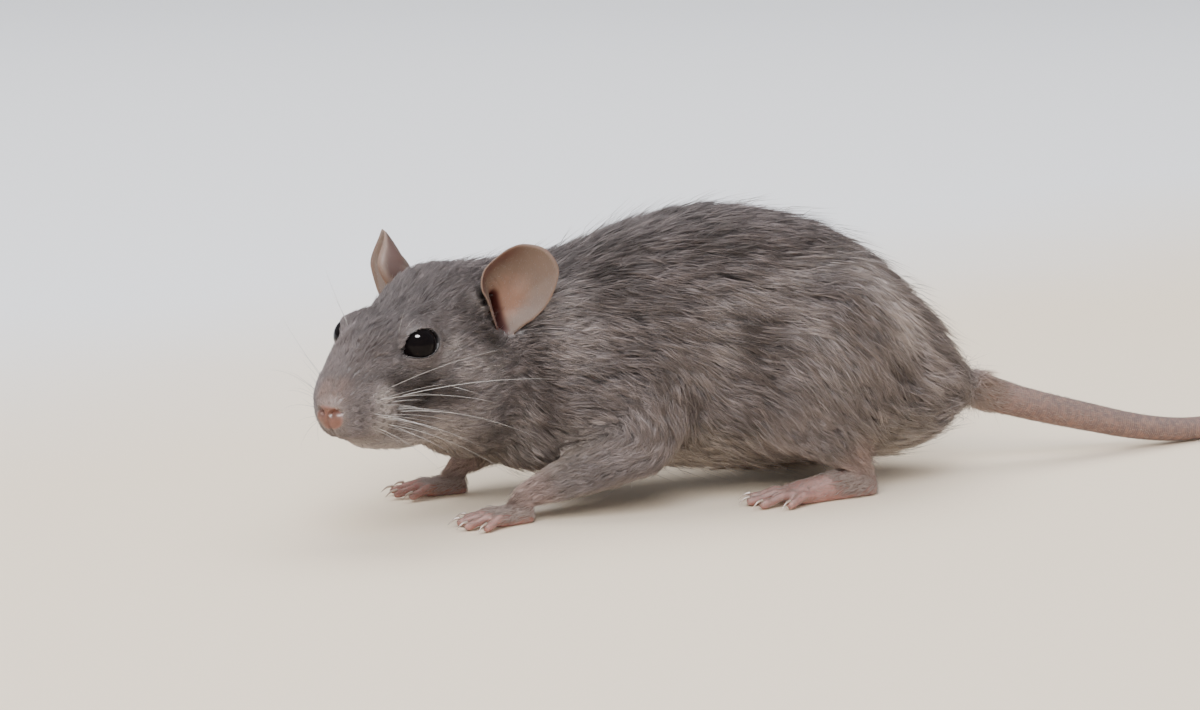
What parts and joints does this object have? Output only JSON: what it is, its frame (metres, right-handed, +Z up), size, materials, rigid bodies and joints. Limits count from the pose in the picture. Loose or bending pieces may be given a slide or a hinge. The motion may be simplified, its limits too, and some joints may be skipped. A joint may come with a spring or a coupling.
{
  "type": "young grey rat, still life-size model",
  "caption": "Still, life-size model of a young grey rat in a low walking stance, back arched, head turned to its left, scaly tail laid on the floor.",
  "frame": {"origin": "on the floor, under the middle of the whole animal's box", "axes": "+X from the muzzle towards the tip of the tail, +Y to the animal's right, +Z up"},
  "size_m": [0.2608, 0.078, 0.0586],
  "materials": {
    "coat": "short dense grey fur with paler tips, soft and matte",
    "nose_skin": "moist pink-brown skin",
    "foot_skin": "pale pink skin under very short hair",
    "ear_skin": "thin tan-pink skin with fine down",
    "tail_skin": "mauve-brown skin in fine rings of scales with sparse bristles",
    "eye": "wet glossy black",
    "claw": "pale translucent horn"
  },
  "bodies": {
    "root": {"nose": "nose_skin", "head": "coat", "lower_jaw": "coat", "neck": "coat", "chest": "coat", "belly": "coat", "rump": "coat", "forearm_left": "coat", "upper_arm_left": "coat", "shank_left": "coat", "thigh_left": "coat", "fore_foot_left": "foot_skin", "hind_foot_left": "foot_skin", "ear_left": "ear_skin", "eye_left": "eye", "forearm_right": "coat", "upper_arm_right": "coat", "shank_right": "coat", "thigh_right": "coat", "fore_foot_right": "foot_skin", "hind_foot_right": "foot_skin", "ear_right": "ear_skin", "eye_right": "eye", "fore_foot_left_claw_1": "claw", "fore_foot_left_claw_2": "claw", "fore_foot_left_claw_3": "claw", "fore_foot_left_claw_4": "claw", "hind_foot_left_claw_1": "claw", "hind_foot_left_claw_2": "claw", "hind_foot_left_claw_3": "claw", "hind_foot_left_claw_4": "claw", "hind_foot_left_claw_5": "claw", "fore_foot_right_claw_1": "claw", "fore_foot_right_claw_2": "claw", "fore_foot_right_claw_3": "claw", "fore_foot_right_claw_4": "claw", "hind_foot_right_claw_1": "claw", "hind_foot_right_claw_2": "claw", "hind_foot_right_claw_3": "claw", "hind_foot_right_claw_4": "claw", "hind_foot_right_claw_5": "claw", "tail_1": "tail_skin", "tail_2": "tail_skin", "tail_3": "tail_skin", "tail_4": "tail_skin"}
  },
  "joints": []
}
